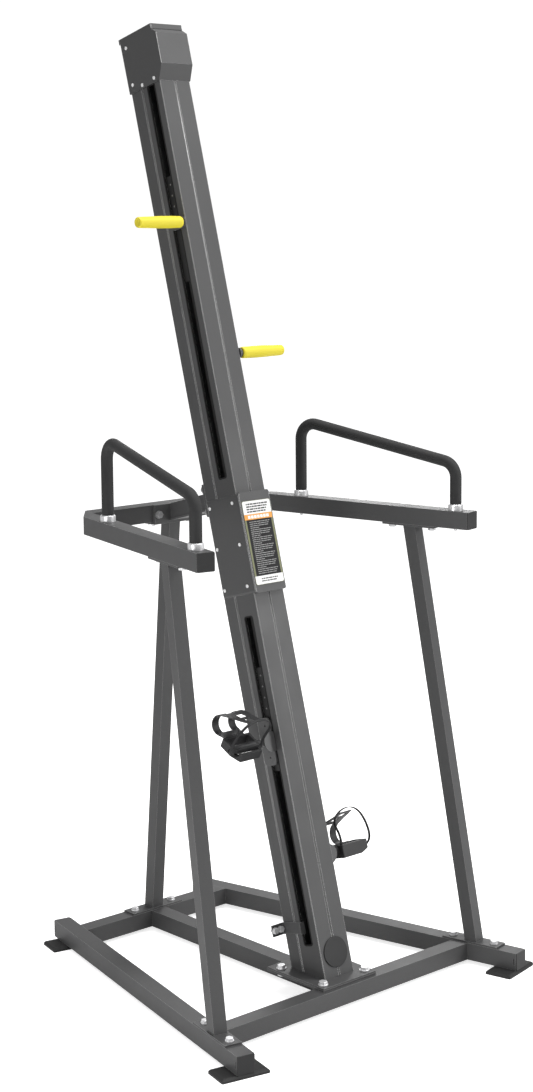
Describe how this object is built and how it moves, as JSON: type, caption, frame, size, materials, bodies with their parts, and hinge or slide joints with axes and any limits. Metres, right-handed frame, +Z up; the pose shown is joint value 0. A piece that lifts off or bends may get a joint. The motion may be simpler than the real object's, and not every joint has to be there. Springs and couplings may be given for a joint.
{
  "type": "vertical climber machine",
  "caption": "Free-standing climbing exerciser: leaning slotted mast on a splayed base, paired sliding handles and pedals, waist-high padded grab bars.",
  "frame": {"origin": "on the floor, at the centre of the machine's footprint", "axes": "+X to the viewer's right when facing the machine from the user's side, +Y from the user toward the machine's rear, +Z up"},
  "size_m": [1.0494, 1.0529, 2.4142],
  "materials": {
    "frame_paint": "metallic dark grey powder coat, satin",
    "grey_paint": "lighter grey paint, satin",
    "foot_rubber": "matt moulded rubber",
    "grip_foam": "closed-cell foam, matt with fine pores",
    "yellow_grip": "soft yellow rubber, satin",
    "black_plastic": "moulded, fine grain",
    "pedal_plastic": "moulded, fine grain",
    "strap": "woven webbing",
    "nylon": "plain moulded nylon",
    "label_panel": "printed panel, glossy",
    "zinc": "bright zinc plate",
    "plain_steel": "drawn steel, lightly oiled",
    "dark_screw": "blackened steel"
  },
  "bodies": {
    "frame": {"base_rail_left": "frame_paint", "base_rail_right": "frame_paint", "front_cross_tube": "frame_paint", "rear_cross_tube": "frame_paint", "centre_tube": "frame_paint", "foot_front_left": "foot_rubber", "foot_front_right": "foot_rubber", "foot_rear_left": "foot_rubber", "foot_rear_right": "foot_rubber", "rail_end_caps": "black_plastic", "leg_left": "frame_paint", "leg_right": "frame_paint", "leg_rear": "frame_paint", "leg_plates": "frame_paint", "leg_bolts": "zinc", "arm_left": "frame_paint", "arm_right": "frame_paint", "rear_crossbar": "frame_paint", "arm_end_caps": "black_plastic", "grab_bar_left": "zinc", "grab_bar_right": "zinc", "grab_foam_left": "grip_foam", "grab_foam_right": "grip_foam", "grab_bar_collars": "zinc", "grab_bar_studs": "zinc", "mast_profile": "frame_paint", "mast_mount_plates": "frame_paint", "mast_mount_bolts": "zinc", "mid_sleeve": "frame_paint", "mid_sleeve_screws": "dark_screw", "label_plate": "label_panel", "top_cap": "frame_paint", "top_cap_screws": "dark_screw", "front_round_cap": "black_plastic", "stop_brackets": "frame_paint", "stop_bolts": "zinc", "stay_tube": "frame_paint", "stay_flanges": "frame_paint", "stay_bolts": "zinc", "pulley_shafts": "plain_steel", "drive_chain": "plain_steel"},
    "left_carriage": {"slide_bar_left": "plain_steel", "handle_bracket_left": "frame_paint", "handle_grip_left": "yellow_grip", "pedal_bracket_left": "grey_paint", "pedal_spindle_left": "zinc"},
    "left_pedal": {"pedal_body_left": "pedal_plastic", "toe_cage_left": "pedal_plastic", "toe_strap_left": "strap"},
    "right_carriage": {"slide_bar_right": "plain_steel", "handle_bracket_right": "frame_paint", "handle_grip_right": "yellow_grip", "pedal_bracket_right": "grey_paint", "pedal_spindle_right": "zinc"},
    "right_pedal": {"pedal_body_right": "pedal_plastic", "toe_cage_right": "pedal_plastic", "toe_strap_right": "strap"},
    "low_pulley": {"pulley_low": "nylon"},
    "high_pulley": {"pulley_high": "nylon"}
  },
  "joints": [
    {"name": "left_slide", "type": "slide", "parent": "frame", "child": "left_carriage", "axis": [0, 0.264, 0.9645], "range_m": [-0.389, 0.081]},
    {"name": "right_slide", "type": "slide", "parent": "frame", "child": "right_carriage", "axis": [0, 0.264, 0.9645], "range_m": [-0.081, 0.389]},
    {"name": "left_pedal_spin", "type": "hinge", "parent": "left_carriage", "child": "left_pedal", "pos_m": [-0.14, -0.12651, 0.63424], "axis": [1, 0, 0], "continuous": true},
    {"name": "right_pedal_spin", "type": "hinge", "parent": "right_carriage", "child": "right_pedal", "pos_m": [0.14, -0.20784, 0.33717], "axis": [1, 0, 0], "continuous": true},
    {"name": "low_pulley_spin", "type": "hinge", "parent": "frame", "child": "low_pulley", "pos_m": [0, -0.26936, 0.11244], "axis": [0, 0.9645, -0.264], "range_deg": [-1010, 215]},
    {"name": "high_pulley_spin", "type": "hinge", "parent": "frame", "child": "high_pulley", "pos_m": [0, 0.3419, 2.34528], "axis": [0, 0.9645, -0.264], "range_deg": [-1010, 215]}
  ],
  "couplings": [
    {"joint": "right_slide", "follows": "left_slide", "ratio": -1},
    {"joint": "low_pulley_spin", "follows": "left_slide", "rad_per_m": 44.843},
    {"joint": "high_pulley_spin", "follows": "left_slide", "rad_per_m": 44.843}
  ]
}
